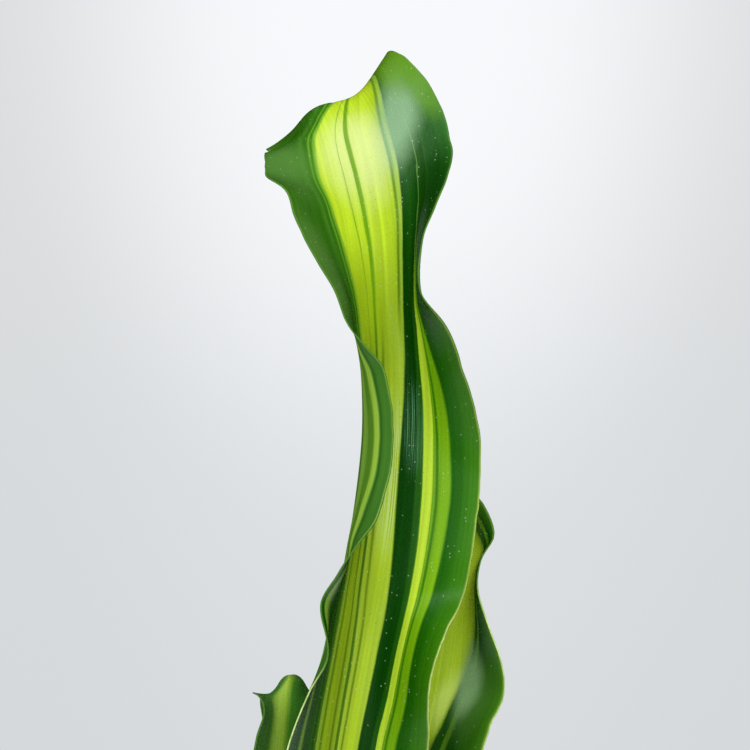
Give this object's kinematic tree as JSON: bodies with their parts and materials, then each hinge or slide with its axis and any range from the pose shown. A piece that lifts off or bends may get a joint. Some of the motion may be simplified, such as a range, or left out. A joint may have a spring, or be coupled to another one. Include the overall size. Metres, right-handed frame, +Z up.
{
  "type": "potted corn plant",
  "caption": "House plant in a plain tapered pot: a ringed woody cane with one green shoot, whose long striped leaves with waved edges arch out round a tall upright one.",
  "frame": {"origin": "middle of the pot's underside, on the surface it stands on", "axes": "+Z up along the cane; +Y away from a viewer who sees the tall leaf's face; +X to that viewer's right"},
  "size_m": [0.702, 0.7632, 1.0848],
  "materials": {
    "pot": "matt off-white glaze",
    "soil": "dark crumbly potting mix",
    "cane": "dry ringed bark",
    "shoot": "smooth green stem",
    "leaf": "satin leaf, dark green with a yellow-green band and stripes"
  },
  "bodies": {
    "root": {"pot": "pot", "soil": "soil", "cane": "cane", "shoot": "shoot", "leaf_01": "leaf", "leaf_02": "leaf", "leaf_03": "leaf", "leaf_04": "leaf", "leaf_05": "leaf", "leaf_06": "leaf", "leaf_07": "leaf", "leaf_08": "leaf", "leaf_09": "leaf", "leaf_10": "leaf", "leaf_11": "leaf", "leaf_12": "leaf", "leaf_13": "leaf", "leaf_14": "leaf", "leaf_15": "leaf", "leaf_16": "leaf", "leaf_17": "leaf"}
  },
  "joints": []
}
